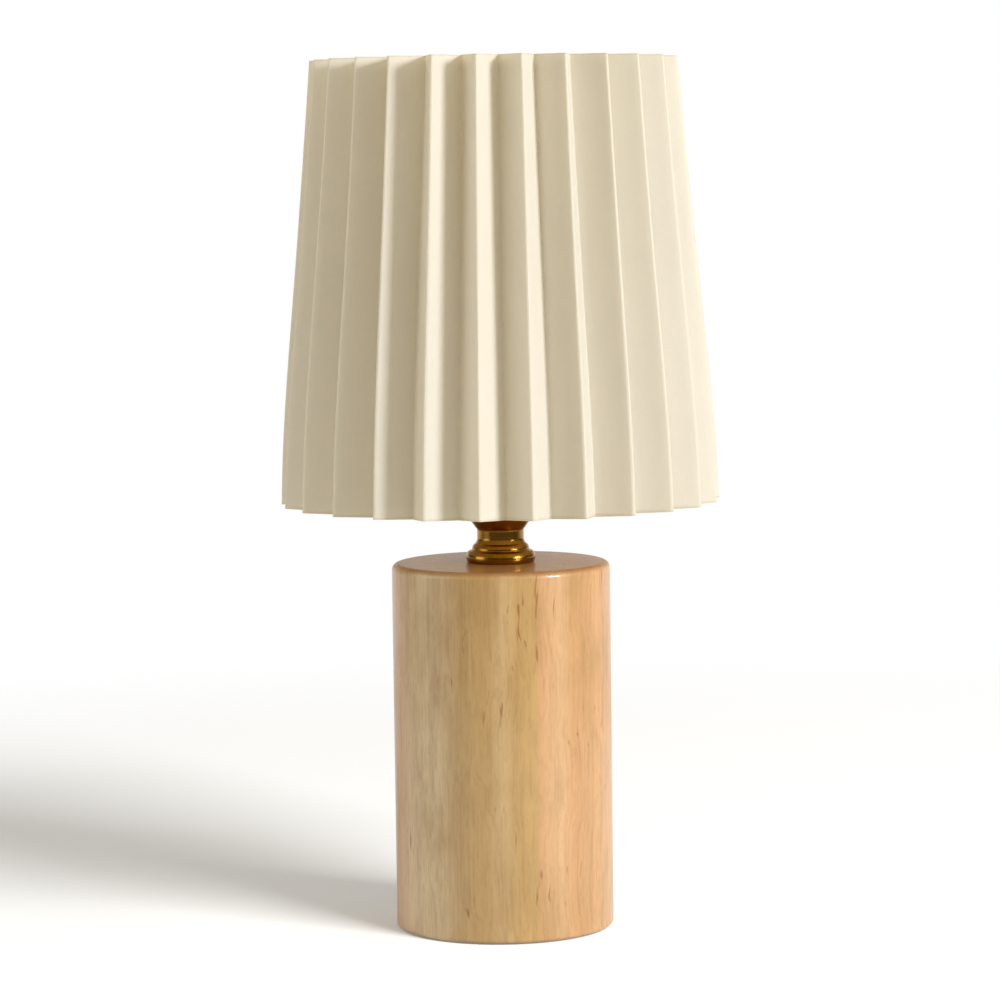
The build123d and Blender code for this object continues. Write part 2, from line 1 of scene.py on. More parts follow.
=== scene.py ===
"""Dresses the frame of a pleated table lamp in its paper, wood and metal.

Every length is in metres. The lamp stands on the floor at z = 0, its front towards -Y.
"""

import math

import bmesh
import bpy
from bpy.props import (
    FloatProperty,
    FloatVectorProperty,
    IntProperty,
    PointerProperty,
)
from mathutils import Matrix, Vector


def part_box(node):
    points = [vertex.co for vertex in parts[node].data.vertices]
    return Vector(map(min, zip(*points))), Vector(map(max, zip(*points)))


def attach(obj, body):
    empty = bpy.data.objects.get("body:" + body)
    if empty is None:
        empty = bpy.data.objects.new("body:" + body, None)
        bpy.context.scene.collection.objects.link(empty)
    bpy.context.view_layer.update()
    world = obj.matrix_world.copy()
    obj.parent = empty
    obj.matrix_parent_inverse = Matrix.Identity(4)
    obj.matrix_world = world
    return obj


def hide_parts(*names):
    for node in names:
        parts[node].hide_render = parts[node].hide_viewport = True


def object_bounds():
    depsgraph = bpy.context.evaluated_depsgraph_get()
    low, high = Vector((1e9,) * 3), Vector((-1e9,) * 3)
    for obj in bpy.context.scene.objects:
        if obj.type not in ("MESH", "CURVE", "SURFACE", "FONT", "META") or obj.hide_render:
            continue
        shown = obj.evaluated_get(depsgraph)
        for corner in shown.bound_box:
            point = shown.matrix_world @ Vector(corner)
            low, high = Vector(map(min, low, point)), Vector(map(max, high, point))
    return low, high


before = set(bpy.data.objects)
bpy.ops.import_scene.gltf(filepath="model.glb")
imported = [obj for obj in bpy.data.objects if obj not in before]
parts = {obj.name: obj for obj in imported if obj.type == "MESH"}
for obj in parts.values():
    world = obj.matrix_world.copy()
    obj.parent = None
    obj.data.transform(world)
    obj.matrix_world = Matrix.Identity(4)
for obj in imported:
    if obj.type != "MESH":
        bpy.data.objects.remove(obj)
cad_low, cad_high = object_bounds()

bl_info = {
    "name": "Pleated table lamp",
    "version": (1, 0, 0),
    "blender": (4, 5, 0),
    "location": "3D View > Sidebar > Table lamp",
    "description": "Dresses a table lamp's frame in pleated paper, wood and brass",
    "category": "Object",
}


# Fixed measures

COVER_ROWS = 18  # rows of faces from the cover's bottom rim to its top one
PANEL_CUTS = 3  # cuts that divide a panel between its two folds
OUTER_SEGMENTS = 4  # faces round an outer fold
INNER_SEGMENTS = 3  # faces round an inner fold
SAME_HEIGHT = 1e-5  # points this near in height are level
ON_FOLD = 2e-5  # a point this near to a fold's radius lies on the fold
MERGE_DISTANCE = 1e-6  # points this near become one
SMOOTH_ANGLE = math.radians(30.0)  # a sharper turn from face to face stays an edge

FRONT = -math.pi / 2  # the front's direction, as an angle from +X
SEAM_START, SEAM_END = 0.12, 0.5  # the seam's place on its panel, as shares of it
SEAM_LIFT = 1.1  # how far the seam lies outside the cover, in thicknesses

DROOP_POWER = 6  # keeps the droop near the bottom rim
BELLY_POWER = 2.6  # puts the widest part of the belly a quarter of the way up
DRAWN_IN = 0.3  # how far the uneven cover is drawn in, as a share of the unevenness

# Waves round the cover: size, number round it, phase, and how they turn with height
SIDEWAYS_WAVES = ((0.55, 3, 0.7, 0.0), (0.5, 8, 2.1, 1.3), (0.35, 13, 5.0, 3.0))
OUTWARD_WAVES = ((0.35, 5, 1.9, 2.2), (0.3, 11, 0.4, -1.7))

SENSOR_WIDTH = 36.0  # of the camera, in millimetres
LIGHT_DISTANCE = 4.0  # from the lamp's middle to each light
FLOOR_RADIUS = 40.0
FLOOR_CORNERS = 64


# Sizes and colours


def length(name, description, default):
    """A length."""
    return FloatProperty(
        name=name,
        description=description,
        default=default,
        subtype="DISTANCE",
        unit="LENGTH",
    )


def angle(name, description, degrees):
    """An angle, whose default is given in degrees."""
    return FloatProperty(
        name=name,
        description=description,
        default=math.radians(degrees),
        subtype="ANGLE",
        unit="ROTATION",
    )


def colour(name, description, default):
    """A colour, in linear red, green and blue."""
    return FloatVectorProperty(
        name=name,
        description=description,
        default=default,
        subtype="COLOR",
        size=3,
        min=0,
        max=1,
    )


def brightness(name, description, default):
    """A brightness, which is 1 for plain white."""
    return FloatProperty(name=name, description=description, default=default)


class CoverSizes(bpy.types.PropertyGroup):
    """Sizes of the pleated paper cover."""

    pleats: IntProperty(
        name="Pleats", description="Outer folds round the cover", default=26, min=6
    )
    panel_width: length(
        "Panel width", "Width of the paper from one fold to the next", 0.019
    )
    bottom_radius: length(
        "Bottom radius", "From the axis to the outer folds at the bottom rim", 0.1013
    )
    top_radius: length(
        "Top radius", "From the axis to the outer folds at the top rim", 0.0846
    )
    first_fold: angle(
        "First fold", "Angle of the first outer fold from the front", -5.6
    )
    thickness: length("Thickness", "Thickness of the paper on its lining", 0.0005)
    outer_round: length(
        "Outer fold",
        "How far the rounding of an outer fold reaches into a panel",
        0.002,
    )
    inner_round: length(
        "Inner fold",
        "How far the rounding of an inner fold reaches into a panel",
        0.0005,
    )
    belly: length("Belly", "How far the cover swells between its rings", 0.0012)
    droop: length(
        "Droop",
        "How far the inner folds hang below the outer ones at the bottom",
        0.0008,
    )
    unevenness: length(
        "Unevenness", "How far a hand-folded pleat strays from its place", 0.0006
    )


class FinishColours(bpy.types.PropertyGroup):
    """Colours of the lamp's finishes."""

    paper: colour("Paper", "Ivory pleated paper", (0.935, 0.945, 0.94))
    paper_glow: colour(
        "Paper against the light",
        "Warmer colour of the light that comes through the paper",
        (0.98, 0.86, 0.55),
    )
    # The palest boards: partly the wood's own colour, partly painted sheen of the left
    # light on the lacquer, which makes this colour lighter and less saturated
    wood_pale_and_sheen: colour("Pale wood", "Palest boards of the column", (0.85, 0.64, 0.37))
    wood_rosy: colour("Rosy wood", "Pinkest boards of the column", (0.76, 0.42, 0.19))
    wood_ochre: colour(
        "Ochre wood", "Yellowest boards of the column", (0.64, 0.4, 0.15)
    )
    wood_streak: colour(
        "Wood streaks", "Darker grain and flecks of the column", (0.36, 0.155, 0.034)
    )
    # Darker top of the column: partly the end grain's own colour, partly painted shade of
    # the lampshade above it
    wood_end_and_shade: colour(
        "End grain", "Darker end grain on top of the column", (0.36, 0.15, 0.06)
    )
    brass: colour("Brass", "Antiqued brass", (0.38, 0.19, 0.03))
    brass_shade: colour(
        "Tarnish", "Darker tarnish in the hollows of the brass", (0.2, 0.095, 0.018)
    )


class StageSettings(bpy.types.PropertyGroup):
    """Camera and lights."""

    camera_distance: length(
        "Camera distance", "From the lamp's axis to the camera", 1.7
    )
    camera_height: length("Camera height", "From the floor to the camera", 0.351)
    camera_tilt: angle("Camera tilt", "How far the camera looks down", 5.2)
    camera_roll: angle(
        "Camera roll",
        "How far the camera leans, which leans the picture the other way",
        -0.757,
    )
    camera_lens: FloatProperty(
        name="Lens",
        description="Focal length in millimetres",
        default=134.3,
        subtype="DISTANCE_CAMERA",
    )
    side_level: brightness(
        "Side light", "Brightness of a white card that faces the side light", 0.82
    )
    side_turn: angle(
        "Side light direction",
        "Angle of the side light from the front, to the right",
        58.0,
    )
    side_rise: angle(
        "Side light elevation", "Angle of the side light above the floor", 17.0
    )
    side_size: length("Side light size", "Side of the square side light, 4 m away", 0.9)
    high_level: brightness(
        "High light", "Brightness of a white card that faces the high light", 0.04
    )
    high_turn: angle(
        "High light direction",
        "Angle of the high light from the front, to the right",
        43.0,
    )
    high_rise: angle(
        "High light elevation", "Angle of the high light above the floor", 38.0
    )
    high_size: length("High light size", "Side of the square high light, 4 m away", 1.6)
    left_level: brightness(
        "Left light", "Brightness of a white card that faces the left light", 0.24
    )
    left_turn: angle(
        "Left light direction",
        "Angle of the left light from the front, to the right",
        -74.0,
    )
    left_rise: angle(
        "Left light elevation", "Angle of the left light above the floor", 10.0
    )
    left_size: length("Left light size", "Side of the square left light, 4 m away", 2.3)
    floor_level: brightness(
        "Floor light",
        "Brightness of a white card that faces the light of the floor",
        1.15,
    )
    floor_turn: angle(
        "Floor light direction",
        "Angle of the floor's light from the front, to the right",
        45.0,
    )
    floor_rise: angle(
        "Floor light elevation", "Angle of the floor's light above the floor", 34.0
    )
    floor_size: length(
        "Floor light size", "Side of the square light of the floor, 4 m away", 1.7
    )
    front_level: brightness(
        "Room light", "Brightness of the light from the camera's side of the room", 0.44
    )
    room_tint: colour(
        "Room tint", "Warmth of the light that the room throws back", (1.0, 0.965, 0.87)
    )
    room_level: brightness(
        "Room in reflections",
        "Brightness of the camera's side of the room in the metal",
        0.1,
    )
    back_level: brightness(
        "Backdrop light", "Brightness of the light from the white backdrop", 0.34
    )


# Materials


class Value:
    """An output socket of a material's node, which can be reckoned with."""

    def __init__(self, finish, socket):
        self.finish = finish
        self.socket = socket

    def _math(self, operation, *terms):
        return self.finish.node(
            "ShaderNodeMath", {"operation": operation}, dict(enumerate(terms))
        )

    def __add__(self, other):
        return self._math("ADD", self, other)

    def __radd__(self, other):
        return self._math("ADD", other, self)

    def __sub__(self, other):
        return self._math("SUBTRACT", self, other)

    def __rsub__(self, other):
        return self._math("SUBTRACT", other, self)

    def __mul__(self, other):
        return self._math("MULTIPLY", self, other)

    def __rmul__(self, other):
        return self._math("MULTIPLY", other, self)

    def __truediv__(self, other):
        return self._math("DIVIDE", self, other)

    def __rtruediv__(self, other):
        return self._math("DIVIDE", other, self)


class Finish:
    """A material, or the world, and the nodes that make it."""

    def __init__(self, name, kinds=None):
        self.owner = (bpy.data.materials if kinds is None else kinds).new(name)
        self.owner.use_nodes = True
        self.tree = self.owner.node_tree
        self.tree.nodes.clear()

    def node(self, kind, settings=None, inputs=None, output=0):
        """Adds a node, sets it up and gives the output that is asked for.

        Among the settings, "stops" are the places and colours of the node's ramp. An
        input is a Value or a constant.
        """
        node = self.tree.nodes.new(kind)
        for name, setting in (settings or {}).items():
            if name == "stops":
                ramp = node.color_ramp.elements
                while len(ramp) < len(setting):
                    ramp.new(1.0)
                for stop, (place, tone) in zip(ramp, setting):
                    stop.position = place
                    stop.color = (*tone, 1.0)
            else:
                setattr(node, name, setting)
        for name, given in (inputs or {}).items():
            if isinstance(given, Value):
                self.tree.links.new(given.socket, node.inputs[name])
            else:
                node.inputs[name].default_value = given
        return Value(self, node.outputs[output]) if output is not None else None

    def place(self, scale=(1.0, 1.0, 1.0), offset=(0.0, 0.0, 0.0)):
        """The point of the surface in metres, stretched by a scale and then moved."""
        point = self.node("ShaderNodeTexCoord", output="Object")
        return self.node(
            "ShaderNodeMapping",
            {},
            {"Vector": point, "Scale": scale, "Location": offset},
        )

    def along(self, axis, point=None):
        """How far the point of the surface, or a given one, lies along an axis."""
        point = point or self.place()
        return self.node("ShaderNodeSeparateXYZ", {}, {0: point}, output=axis)

    def noise(self, scale, detail, roughness, offset=(0.0, 0.0, 0.0), push=None):
        """Noise from 0 to 1, whose cells are about 1 / scale metres, bent by a push."""
        place = self.place(scale, offset)
        if push is not None:
            place = self.node(
                "ShaderNodeVectorMath", {"operation": "ADD"}, {0: place, 1: push}
            )
        return self.node(
            "ShaderNodeTexNoise",
            {},
            {
                "Vector": place,
                "Scale": 1.0,
                "Detail": detail,
                "Roughness": roughness,
            },
        )

    def between(self, value, low, high, first=0.0, last=1.0):
        """Goes smoothly from first to last as the value goes from low to high."""
        return self.node(
            "ShaderNodeMapRange",
            {"interpolation_type": "SMOOTHSTEP"},
            {0: value, 1: low, 2: high, 3: first, 4: last},
        )

    def mixed(self, share, first, second):
        """Mixes two colours, of which the second has the share."""
        first, second = (
            tone if isinstance(tone, Value) else (*tone, 1.0)
            for tone in (first, second)
        )
        return self.node(
            "ShaderNodeMix",
            {"data_type": "RGBA"},
            {0: share, 6: first, 7: second},
            output=2,
        )

    def bump(self, height, distance, strength):
        """A normal from a height, which is 1 at the distance above the surface."""
        return self.node(
            "ShaderNodeBump",
            {},
            {"Height": height, "Distance": distance, "Strength": strength},
        )

    def shader(self, inputs):
        """The main shader."""
        return self.node("ShaderNodeBsdfPrincipled", {}, inputs)

    def rays(self):
        """Whether a ray is a reflection, and whether the camera sees it.

        The camera also sees what comes through glass.
        """
        glossy, camera, through = (
            self.node("ShaderNodeLightPath", output=f"Is {kind} Ray")
            for kind in ("Glossy", "Camera", "Transmission")
        )
        return glossy, camera + through

    def done(self, surface):
        """Ends the material or the world with its surface and gives it."""
        place = "World" if isinstance(self.owner, bpy.types.World) else "Material"
        self.node(f"ShaderNodeOutput{place}", {}, {"Surface": surface}, output=None)
        return self.owner


def paper_finish(colours, low, high):
    """Ivory pleated paper between two heights, through which light glows."""
    finish = Finish("pleated paper")
    edge_core, edge_reach = 0.0003, 0.0009  # from a rim's edge
    edge_tone = (0.5, 0.4, 0.27)
    share_through = 0.4  # of the light, the rest of which the paper throws back
    height = finish.along("Z")
    from_rim = finish.node(
        "ShaderNodeMath", {"operation": "MINIMUM"}, {0: height - low, 1: high - height}
    )
    cloud = finish.noise((28.0, 28.0, 9.0), detail=3.0, roughness=0.6)
    fibre = finish.noise((1500.0, 1500.0, 420.0), detail=4.0, roughness=0.62)
    tint = Vector(colours.paper)
    tone = finish.mixed(finish.between(cloud, 0.3, 0.75), tint, tint * 0.965)
    tone = finish.mixed(
        finish.between(fibre, 0.35, 0.72, 0.0, 0.35), tone, tint * 0.9
    )
    tone = finish.mixed(
        finish.between(from_rim, edge_core, edge_reach, 0.3, 0.0), tone, edge_tone
    )
    normal = finish.bump(fibre, distance=0.00012, strength=0.35)
    front = finish.shader(
        {
            "Base Color": tone,
            "Roughness": finish.between(fibre, 0.3, 0.7, 0.56, 0.68),
            "Specular IOR Level": 0.35,
            "Normal": normal,
        }
    )
    through = finish.node(
        "ShaderNodeBsdfTranslucent",
        {},
        {"Color": (*colours.paper_glow, 1.0), "Normal": normal},
    )
    return finish.done(
        finish.node("ShaderNodeMixShader", {}, {0: share_through, 1: front, 2: through})
    )


def glued_boards(finish, colours, low, high):
    """The boards' colours, from the left side of the column to its right."""
    pale, rosy = Vector(colours.wood_pale_and_sheen), Vector(colours.wood_rosy)
    ochre = Vector(colours.wood_ochre)
    joint_wander = 0.004  # how far the line between two boards strays
    across = finish.along("X")
    wander = finish.noise(
        (10.0, 10.0, 9.0), detail=2.0, roughness=0.5, offset=(3.1, 0.0, 0.0)
    )
    share = (across - low.x + (wander - 0.5) * joint_wander) / (high.x - low.x)
    return finish.node(
        "ShaderNodeValToRGB",
        {
            "stops": [
                (0.0, rosy * 0.98),
                # Partly painted sheen: the pale board on the left side, from 0.1 to 0.2,
                # stands in for the left light's sheen on the lacquer as well as for the
                # wood's own colour
                (0.1, pale * 0.98),
                (0.2, pale * 1.04),
                (0.3, pale.lerp(ochre, 0.7)),
                (0.41, ochre * 0.96),
                (0.5, ochre.lerp(pale, 0.4)),
                (0.57, ochre * 1.04),
                (0.655, ochre * 1.06),
                (0.667, rosy),
                (0.755, rosy.lerp(pale, 0.25) * 1.02),
                (0.82, rosy * 0.98),
                (0.87, rosy * 0.9),
                (0.905, rosy * 0.92),
                (0.914, rosy * 1.04),
                (1.0, rosy * 0.98),
            ],
        },
        {0: share},
    )


def wood_finish(colours, low, high):
    """Pale wood glued up from boards, turned and given a satin lacquer."""
    finish = Finish("lacquered wood")
    boards = glued_boards(finish, colours, low, high)
    bend = finish.noise((26.0, 26.0, 22.0), detail=2.0, roughness=0.5)
    cloud = finish.noise((60.0, 60.0, 26.0), detail=3.0, roughness=0.6)
    band = finish.noise(
        (170.0, 170.0, 11.0),
        detail=3.0,
        roughness=0.5,
        offset=(0.0, 4.0, 0.0),
        push=bend * 1.5,
    )
    grain = finish.noise(
        (850.0, 850.0, 16.0), detail=3.0, roughness=0.55, push=bend * 7.0
    )
    pores = finish.noise((2400.0, 2400.0, 230.0), detail=2.0, roughness=0.6)
    fleck = finish.noise(
        (560.0, 560.0, 75.0),
        detail=2.0,
        roughness=0.5,
        offset=(0.0, 7.0, 0.0),
        push=bend * 5.0,
    )
    flecked = finish.noise(
        (42.0, 42.0, 20.0), detail=2.0, roughness=0.5, offset=(9.0, 0.0, 0.0)
    )
    tone = finish.mixed(
        finish.between(cloud, 0.38, 0.7, 0.0, 0.5),
        boards,
        Vector(colours.wood_ochre) * 0.8,
    )
    streak = colours.wood_streak
    for mark, faint, full, most in (
        (band, 0.42, 0.72, 0.24),
        (grain, 0.42, 0.7, 0.2),
        (pores, 0.5, 0.74, 0.2),
    ):
        tone = finish.mixed(finish.between(mark, faint, full, 0.0, most), tone, streak)
    flecks = finish.between(fleck, 0.62, 0.74) * finish.between(flecked, 0.47, 0.6)
    tone = finish.mixed(flecks * 0.8, tone, streak)
    # The top face is darker: partly the end grain's own colour, partly painted shade of
    # the lampshade above it. Its lacquer coat is thinner there too.
    top_band_start, top_band_full = high.z - 0.0024, high.z - 0.0004  # on the rounded top edge
    end_grain_and_shade = finish.between(finish.along("Z"), top_band_start, top_band_full, 0.0, 0.7)
    tone = finish.mixed(end_grain_and_shade, tone, colours.wood_end_and_shade)
    return finish.done(
        finish.shader(
            {
                "Base Color": tone,
                "Roughness": finish.between(grain, 0.3, 0.7, 0.4, 0.48),
                "Specular IOR Level": 0.4,
                "Coat Weight": 0.5 - end_grain_and_shade * 0.4,
                "Coat Roughness": 0.1,
                "Normal": finish.bump(
                    pores + grain * 2.0, distance=0.00004, strength=0.4
                ),
            }
        )
    )


def brass_finish(colours):
    """Antiqued brass with a satin polish."""
    finish = Finish("antiqued brass")
    cloud = finish.noise((160.0, 160.0, 160.0), detail=4.0, roughness=0.6)
    brushed = finish.noise((90.0, 90.0, 3600.0), detail=2.0, roughness=0.5)
    tone = finish.mixed(
        finish.between(cloud, 0.45, 0.75, 0.0, 0.35), colours.brass, colours.brass_shade
    )
    return finish.done(
        finish.shader(
            {
                "Base Color": tone,
                "Metallic": 1.0,
                "Roughness": finish.between(cloud, 0.3, 0.7, 0.2, 0.27),
                "Normal": finish.bump(brushed, distance=0.00001, strength=0.3),
            }
        )
    )


def plain_finish(
    name, tone, roughness, metallic=0.0, speckle=400.0, depth=0.00003, **extra
):
    """A plain paint, plastic or metal with a slight unevenness."""
    finish = Finish(name)
    cloud = finish.noise((speckle, speckle, speckle), detail=4.0, roughness=0.6)
    smoothest, roughest = roughness * 0.85, min(roughness * 1.15, 1.0)
    return finish.done(
        finish.shader(
            {
                "Base Color": finish.mixed(
                    finish.between(cloud, 0.35, 0.7), tone, Vector(tone) * 0.86
                ),
                "Metallic": metallic,
                "Roughness": finish.between(cloud, 0.3, 0.7, smoothest, roughest),
                "Normal": finish.bump(cloud, distance=depth, strength=0.5),
                **extra,
            }
        )
    )


def dress(names, material):
    """Gives frame parts a finish."""
    for name in names:
        parts[name].material_slots[0].material = material


# Modelling


def begin(name, add, **sizes):
    """Adds a primitive under a name, with nothing else selected, in edit mode."""
    bpy.ops.object.select_all(action="DESELECT")
    add(**sizes)
    piece = bpy.context.object
    piece.name = piece.data.name = name
    bpy.ops.object.transform_apply(location=True, rotation=True, scale=True)
    bpy.ops.object.mode_set(mode="EDIT")
    return piece


def pick(piece, kind, wanted):
    """Selects the wanted vertices, edges or faces of the piece in edit mode."""
    mesh = bmesh.from_edit_mesh(piece.data)
    modes = {"verts": "VERT", "edges": "EDGE", "faces": "FACE"}
    bpy.ops.mesh.select_mode(type=modes[kind])
    bpy.ops.mesh.select_all(action="DESELECT")
    count = 0
    for element in getattr(mesh, kind):
        if wanted(element):
            element.select_set(True)
            count += 1
    if not count:
        raise RuntimeError(f"{piece.name}: nothing is left to select")
    mesh.select_flush_mode()
    bmesh.update_edit_mesh(piece.data)


def select_only(piece):
    """Selects the piece and nothing else."""
    bpy.ops.object.select_all(action="DESELECT")
    bpy.context.view_layer.objects.active = piece
    piece.select_set(True)


def thicken(piece, thickness):
    """Gives a selected sheet its thickness, which grows inwards."""
    modifier = piece.modifiers.new("Thickness", "SOLIDIFY")
    modifier.thickness = thickness
    modifier.offset = -1
    modifier.use_even_offset = True
    bpy.ops.object.modifier_apply(modifier=modifier.name)


def complete(piece, body, material):
    """Smooths the selected piece, gives it a material and rides it on its body."""
    bpy.ops.object.shade_smooth_by_angle(angle=SMOOTH_ANGLE)
    piece.data.materials.clear()
    piece.data.materials.append(material)
    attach(piece, body)


def radius_of(vertex):
    """From the lamp's axis to the vertex."""
    return math.hypot(vertex.co.x, vertex.co.y)


def at_height(vertex, height):
    """Whether the vertex is at the height."""
    return abs(vertex.co.z - height) < SAME_HEIGHT


def is_level(edge):
    """Whether both ends of the edge are at one height."""
    return at_height(edge.verts[0], edge.verts[1].co.z)


def shrink(share, height):
    """Draws what is selected, at one height, towards the lamp's axis."""
    bpy.ops.transform.resize(value=(share, share, 1), center_override=(0, 0, height))


# The paper cover


class CoverShape:
    """The even cover: how far its outer and inner folds are from the axis."""

    def __init__(self, sizes, low, high):
        self.sizes = sizes
        self.low = low
        self.high = high
        self.half_step = math.pi / sizes.pleats  # the angle that one panel takes up

    def rise(self, height):
        """Goes from 0 at the bottom rim to 1 at the top one."""
        return (height - self.low) / (self.high - self.low)

    def outer(self, height):
        """The radius of the outer folds."""
        bottom, top = self.sizes.bottom_radius, self.sizes.top_radius
        return bottom + self.rise(height) * (top - bottom)

    def inner(self, height):
        """The radius of the inner folds, which the width of a panel decides."""
        radius = self.outer(height)
        return radius * math.cos(self.half_step) - math.sqrt(
            self.sizes.panel_width**2 - (radius * math.sin(self.half_step)) ** 2
        )


def fold_strip(shape):
    """Folds the strip of paper row by row, from the bottom rim up."""
    sizes, low = shape.sizes, shape.low
    cover = begin(
        "pleated_paper",
        bpy.ops.mesh.primitive_circle_add,
        vertices=2 * sizes.pleats,
        radius=sizes.bottom_radius,
        location=(0, 0, low),
        rotation=(0, 0, sizes.first_fold - math.pi),  # its first corner is at the back
    )
    bmesh.from_edit_mesh(cover.data).verts.index_update()
    # Every second corner becomes an inner fold
    pick(cover, "verts", lambda v: v.index % 2 == 1)
    shrink(shape.inner(low) / shape.outer(low), low)
    step = (shape.high - low) / COVER_ROWS
    for row in range(COVER_ROWS):
        below, above = low + row * step, low + (row + 1) * step
        middle = (shape.outer(below) + shape.inner(below)) / 2
        pick(cover, "verts", lambda v: at_height(v, below))
        bpy.ops.mesh.extrude_region_move(
            TRANSFORM_OT_translate={"value": (0, 0, step)}
        )
        for radius, is_outer in ((shape.outer, True), (shape.inner, False)):
            pick(
                cover,
                "verts",
                lambda v: at_height(v, above) and (radius_of(v) > middle) == is_outer,
            )
            shrink(radius(above) / radius(below), above)
    bpy.ops.mesh.select_all(action="SELECT")
    bpy.ops.mesh.normals_make_consistent(inside=False)
    return cover


def round_folds(cover, shape):
    """Divides the panels and rounds the folds between them."""
    sizes = shape.sizes
    pick(cover, "edges", is_level)
    bpy.ops.mesh.subdivide(number_cuts=PANEL_CUTS)
    for radius, reach, segments in (
        (shape.outer, sizes.outer_round, OUTER_SEGMENTS),
        (shape.inner, sizes.inner_round, INNER_SEGMENTS),
    ):
        pick(
            cover,
            "edges",
            lambda e: not is_level(e)
            and all(abs(radius_of(v) - radius(v.co.z)) < ON_FOLD for v in e.verts),
        )
        bpy.ops.mesh.bevel(
            offset=reach, segments=segments, affect="EDGES", clamp_overlap=False
        )
    bpy.ops.mesh.select_all(action="SELECT")
    bpy.ops.mesh.remove_doubles(threshold=MERGE_DISTANCE)


def wave(kinds, turn, rise):
    """Adds up waves of several kinds at a place on the cover."""
    return sum(
        size * math.sin(number * turn + phase + lean * rise)
        for size, number, phase, lean in kinds
    )


def loosen(cover, shape):
    """Lets the pleats stray, swell and hang a little, as paper folded by hand does."""
    sizes = shape.sizes
    mesh = bmesh.from_edit_mesh(cover.data)
    for vertex in mesh.verts:
        x, y, z = vertex.co
        turn, radius = math.atan2(y, x), math.hypot(x, y)
        rise = shape.rise(z)
        depth = sizes.unevenness * wave(OUTWARD_WAVES, turn, rise)
        turn += sizes.unevenness * wave(SIDEWAYS_WAVES, turn, rise) / radius
        inward = (shape.outer(z) - radius) / (shape.outer(z) - shape.inner(z))
        z -= sizes.droop * inward * (1 - rise) ** DROOP_POWER
        radius += depth - DRAWN_IN * sizes.unevenness
        radius += sizes.belly * math.sin(math.pi * (1 - rise) ** BELLY_POWER)
        vertex.co = (radius * math.cos(turn), radius * math.sin(turn), z)
    bmesh.update_edit_mesh(cover.data)


def add_seam(cover, shape):
    """Copies part of a panel at the back, where the strip's ends are glued together."""
    half_step = shape.half_step
    folds_to_back = shape.sizes.pleats // 2
    back_fold = shape.sizes.first_fold + folds_to_back * 2 * half_step + FRONT

    def in_seam(face):
        middle = face.calc_center_median()
        turn = math.atan2(middle.y, middle.x) - back_fold
        return SEAM_START * half_step < turn < SEAM_END * half_step

    pick(cover, "faces", in_seam)
    bpy.ops.mesh.duplicate()
    bpy.ops.mesh.separate(type="SELECTED")
    bpy.ops.object.mode_set(mode="OBJECT")
    (seam,) = (piece for piece in bpy.context.selected_objects if piece != cover)
    seam.name = seam.data.name = "paper_seam"
    select_only(seam)
    bpy.ops.object.mode_set(mode="EDIT")
    bpy.ops.mesh.select_all(action="SELECT")
    bpy.ops.transform.shrink_fatten(value=shape.sizes.thickness * SEAM_LIFT)
    bpy.ops.object.mode_set(mode="OBJECT")
    return seam


class LAMP_OT_cover(bpy.types.Operator):
    """Folds the paper cover from one strip of even pleats"""

    bl_idname = "lamp.cover"
    bl_label = "Paper cover"

    def execute(self, context):
        sizes, colours = context.scene.lamp_cover, context.scene.lamp_colours
        low, high = (corner.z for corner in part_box("pleated_cover"))
        shape = CoverShape(sizes, low, high)
        cover = fold_strip(shape)
        round_folds(cover, shape)
        loosen(cover, shape)
        seam = add_seam(cover, shape)
        paper = paper_finish(colours, low, high)
        for piece in (seam, cover):
            select_only(piece)
            thicken(piece, sizes.thickness)
            complete(piece, "shade", paper)
        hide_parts("pleated_cover")
        return {"FINISHED"}


# The parts that keep the frame's shape


class LAMP_OT_column(bpy.types.Operator):
    """Finishes the wooden column and the felt under it"""

    bl_idname = "lamp.column"
    bl_label = "Wooden column"

    def execute(self, context):
        low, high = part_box("base_body")
        dress(["base_body"], wood_finish(context.scene.lamp_colours, low, high))
        dress(
            ["base_pad"],
            plain_finish(
                "felt", (0.045, 0.04, 0.036), 0.95, speckle=2500.0, depth=0.0004
            ),
        )
        return {"FINISHED"}


class LAMP_OT_metalwork(bpy.types.Operator):
    """Finishes the brass, the wire frame and the fixings"""

    bl_idname = "lamp.metalwork"
    bl_label = "Brass and wire"

    def execute(self, context):
        dress(
            ["neck", "holder_cap", "holder_shell", "seat_ring", "retaining_ring"],
            brass_finish(context.scene.lamp_colours),
        )
        dress(
            ["bottom_ring", "top_ring", "shade_struts", "spider_arms", "shade_fitter"],
            plain_finish("painted wire", (0.72, 0.66, 0.52), 0.42, speckle=900.0),
        )
        dress(
            [
                "lamp_pipe",
                "pipe_washer",
                "lock_washer",
                "pipe_nut",
                "holder_grub_screw",
                "terminal_screws",
                "bulb_contact",
                "bulb_leads",
            ],
            plain_finish("zinc plated steel", (0.52, 0.52, 0.5), 0.34, metallic=1.0),
        )
        dress(
            ["cord_bushing"],
            plain_finish("black plastic", (0.016, 0.016, 0.017), 0.45, speckle=1200.0),
        )
        dress(
            ["terminal_blocks", "centre_contact"],
            plain_finish("contact bronze", (0.55, 0.33, 0.12), 0.3, metallic=1.0),
        )
        return {"FINISHED"}


